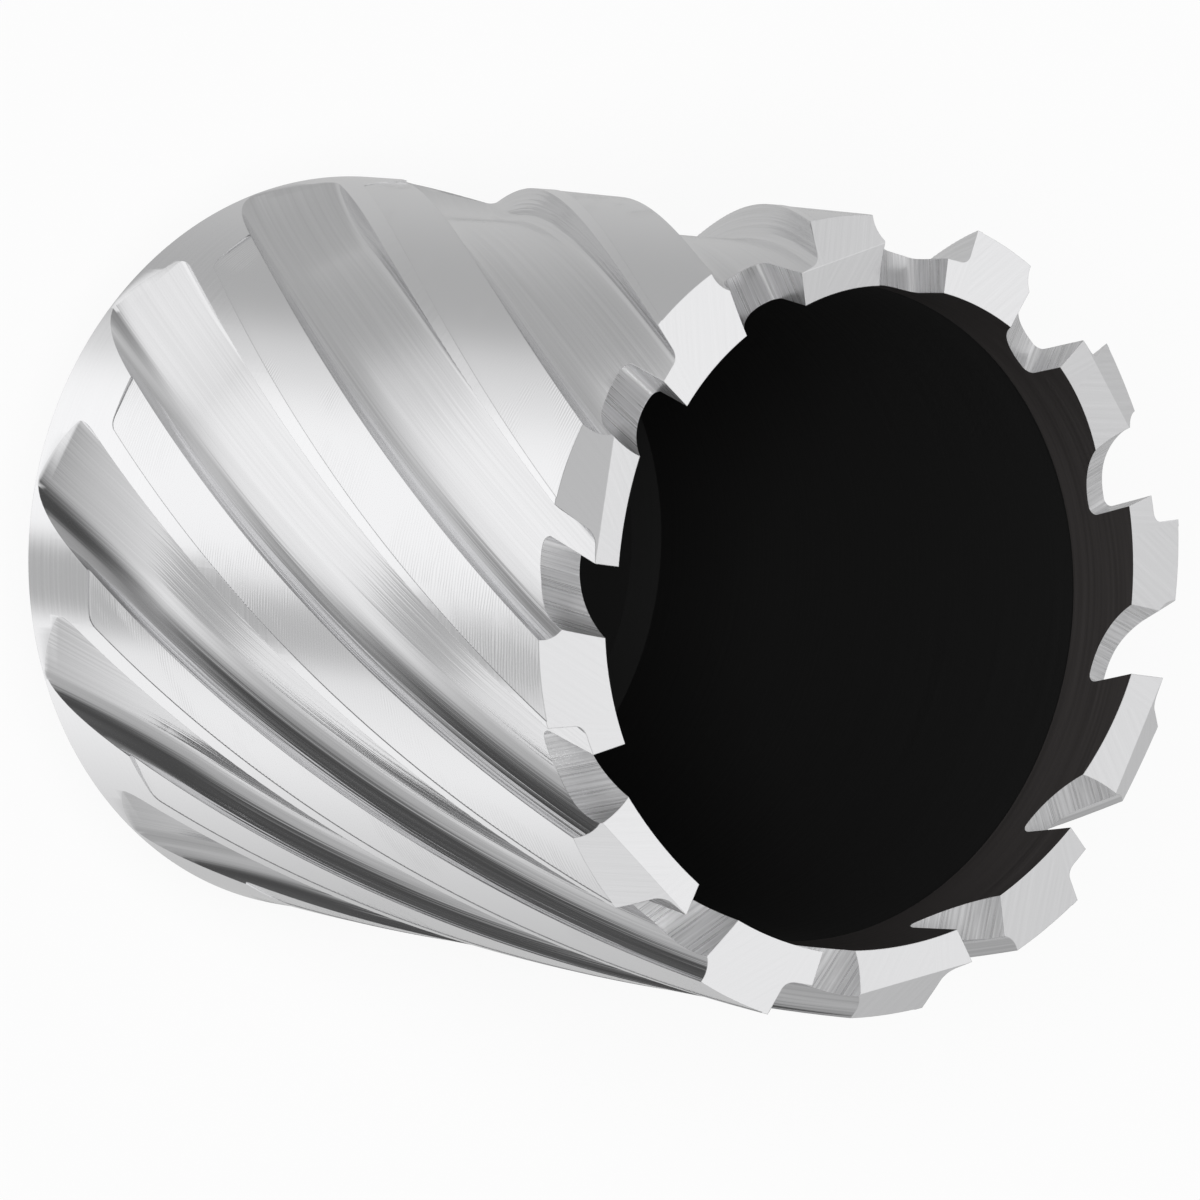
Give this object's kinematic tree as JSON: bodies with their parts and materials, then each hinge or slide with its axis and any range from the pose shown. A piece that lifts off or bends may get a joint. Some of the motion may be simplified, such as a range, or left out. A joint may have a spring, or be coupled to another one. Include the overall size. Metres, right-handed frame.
{
  "type": "annular cutter",
  "caption": "Hollow cylindrical cutter with helical flutes and ground teeth at its rim, on a short shank with set-screw flats, that cuts a ring out of metal plate and frees a core.",
  "frame": {"origin": "centre of the shank's end face, on the cutter's axis", "axes": "+Z along the cutter's axis from the shank to the teeth; +X through the outer corner of one straight tooth and through the middle of one set-screw flat"},
  "size_m": [0.055, 0.055, 0.0903],
  "materials": {
    "ground_steel": "bright ground high-speed steel, brushed along the flutes"
  },
  "bodies": {
    "root": {"cutter": "ground_steel"}
  },
  "joints": []
}
